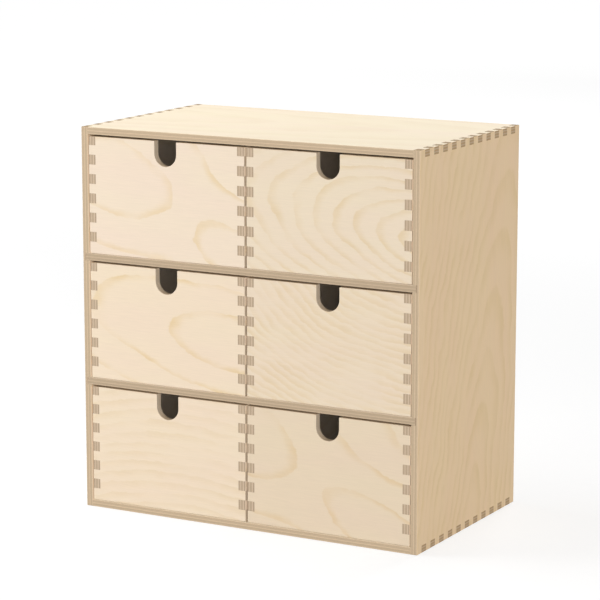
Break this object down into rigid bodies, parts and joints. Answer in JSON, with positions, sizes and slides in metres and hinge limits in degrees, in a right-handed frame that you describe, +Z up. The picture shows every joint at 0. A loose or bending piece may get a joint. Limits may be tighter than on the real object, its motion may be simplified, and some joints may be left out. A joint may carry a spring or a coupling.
{
  "type": "desktop drawer chest",
  "caption": "Free-standing desktop chest of small plywood drawers in rows of two, finger-jointed, each drawer with a finger notch in its front.",
  "frame": {"origin": "centre of the case's footprint, on the surface it stands on", "axes": "+Z up, -Y the front that the drawers open towards, +X to the right seen from the front"},
  "size_m": [0.31, 0.184, 0.321],
  "materials": {
    "birch_ply_case": "sanded 6 mm birch plywood, bare",
    "birch_ply_drawer": "sanded 6.5 mm birch plywood, bare",
    "birch_ply_thin": "sanded 3 mm birch plywood, bare"
  },
  "bodies": {
    "case": {"left_side": "birch_ply_case", "right_side": "birch_ply_case", "top_panel": "birch_ply_case", "bottom_panel": "birch_ply_case", "lower_shelf": "birch_ply_case", "upper_shelf": "birch_ply_case", "back_panel": "birch_ply_thin"},
    "bottom_left_drawer": {"bottom_left_drawer_front": "birch_ply_drawer", "bottom_left_drawer_back": "birch_ply_drawer", "bottom_left_drawer_left_wall": "birch_ply_drawer", "bottom_left_drawer_right_wall": "birch_ply_drawer", "bottom_left_drawer_bottom": "birch_ply_thin"},
    "bottom_right_drawer": {"bottom_right_drawer_front": "birch_ply_drawer", "bottom_right_drawer_back": "birch_ply_drawer", "bottom_right_drawer_left_wall": "birch_ply_drawer", "bottom_right_drawer_right_wall": "birch_ply_drawer", "bottom_right_drawer_bottom": "birch_ply_thin"},
    "middle_left_drawer": {"middle_left_drawer_front": "birch_ply_drawer", "middle_left_drawer_back": "birch_ply_drawer", "middle_left_drawer_left_wall": "birch_ply_drawer", "middle_left_drawer_right_wall": "birch_ply_drawer", "middle_left_drawer_bottom": "birch_ply_thin"},
    "middle_right_drawer": {"middle_right_drawer_front": "birch_ply_drawer", "middle_right_drawer_back": "birch_ply_drawer", "middle_right_drawer_left_wall": "birch_ply_drawer", "middle_right_drawer_right_wall": "birch_ply_drawer", "middle_right_drawer_bottom": "birch_ply_thin"},
    "top_left_drawer": {"top_left_drawer_front": "birch_ply_drawer", "top_left_drawer_back": "birch_ply_drawer", "top_left_drawer_left_wall": "birch_ply_drawer", "top_left_drawer_right_wall": "birch_ply_drawer", "top_left_drawer_bottom": "birch_ply_thin"},
    "top_right_drawer": {"top_right_drawer_front": "birch_ply_drawer", "top_right_drawer_back": "birch_ply_drawer", "top_right_drawer_left_wall": "birch_ply_drawer", "top_right_drawer_right_wall": "birch_ply_drawer", "top_right_drawer_bottom": "birch_ply_thin"}
  },
  "joints": [
    {"name": "bottom_left_slide", "type": "slide", "parent": "case", "child": "bottom_left_drawer", "axis": [0, -1, 0], "range_m": [0, 0.15]},
    {"name": "bottom_right_slide", "type": "slide", "parent": "case", "child": "bottom_right_drawer", "axis": [0, -1, 0], "range_m": [0, 0.15]},
    {"name": "middle_left_slide", "type": "slide", "parent": "case", "child": "middle_left_drawer", "axis": [0, -1, 0], "range_m": [0, 0.15]},
    {"name": "middle_right_slide", "type": "slide", "parent": "case", "child": "middle_right_drawer", "axis": [0, -1, 0], "range_m": [0, 0.15]},
    {"name": "top_left_slide", "type": "slide", "parent": "case", "child": "top_left_drawer", "axis": [0, -1, 0], "range_m": [0, 0.15]},
    {"name": "top_right_slide", "type": "slide", "parent": "case", "child": "top_right_drawer", "axis": [0, -1, 0], "range_m": [0, 0.15]}
  ]
}
